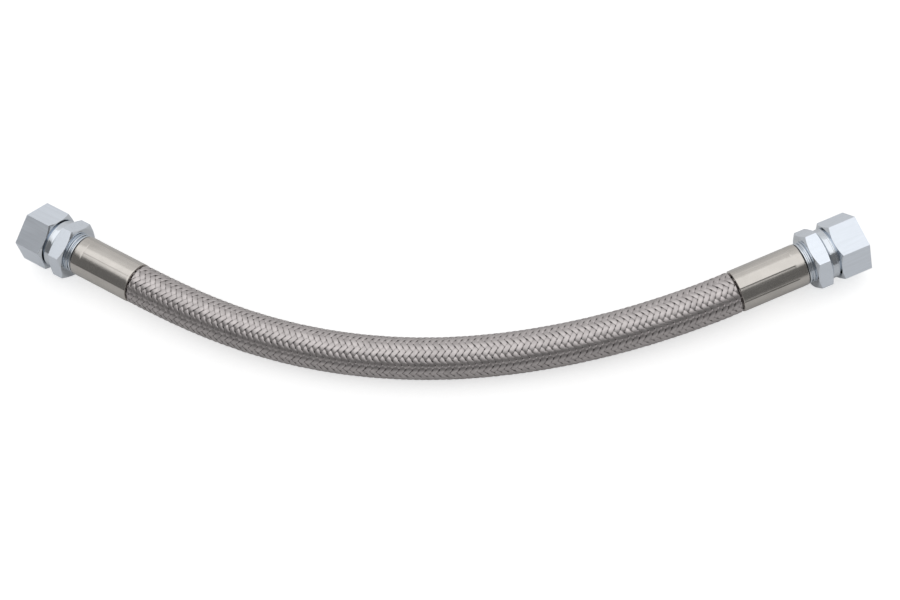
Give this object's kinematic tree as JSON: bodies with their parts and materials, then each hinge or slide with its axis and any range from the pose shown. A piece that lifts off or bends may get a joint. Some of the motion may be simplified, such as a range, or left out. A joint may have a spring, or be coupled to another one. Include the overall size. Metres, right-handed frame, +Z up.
{
  "type": "braided fuel line",
  "caption": "Short flexible fuel hose with a stainless wire braid, a crimped ferrule and a swivel union nut on each end.",
  "frame": {"origin": "on the floor, under the centre of the line's footprint as it lies", "axes": "+X along the line from the left fitting to the right one, +Y towards the side that both ends bend to, +Z up"},
  "size_m": [0.348, 0.0744, 0.0261],
  "materials": {
    "rubber": "black nitrile rubber, matt",
    "wire_braid": "woven stainless wire, satin, warm grey",
    "polished_steel": "polished stainless steel with faint lengthwise crimp marks",
    "zinc_plate": "bright bluish zinc plating on machined steel"
  },
  "bodies": {
    "hose": {"inner_tube": "rubber", "wire_braid": "wire_braid", "ferrule_left": "polished_steel", "ferrule_right": "polished_steel", "insert_left": "zinc_plate", "insert_right": "zinc_plate", "o_ring_left": "rubber", "o_ring_right": "rubber"},
    "nut_left": {"swivel_nut_left": "zinc_plate"},
    "nut_right": {"swivel_nut_right": "zinc_plate"}
  },
  "joints": [
    {"name": "nut_left_swivel", "type": "hinge", "parent": "hose", "child": "nut_left", "pos_m": [-0.16895, 0.02469, 0.0134], "axis": [-0.8964, 0.4413, 0.0409], "continuous": true},
    {"name": "nut_right_swivel", "type": "hinge", "parent": "hose", "child": "nut_right", "pos_m": [0.16848, 0.02612, 0.01285], "axis": [0.8965, 0.4414, 0.0373], "continuous": true}
  ]
}
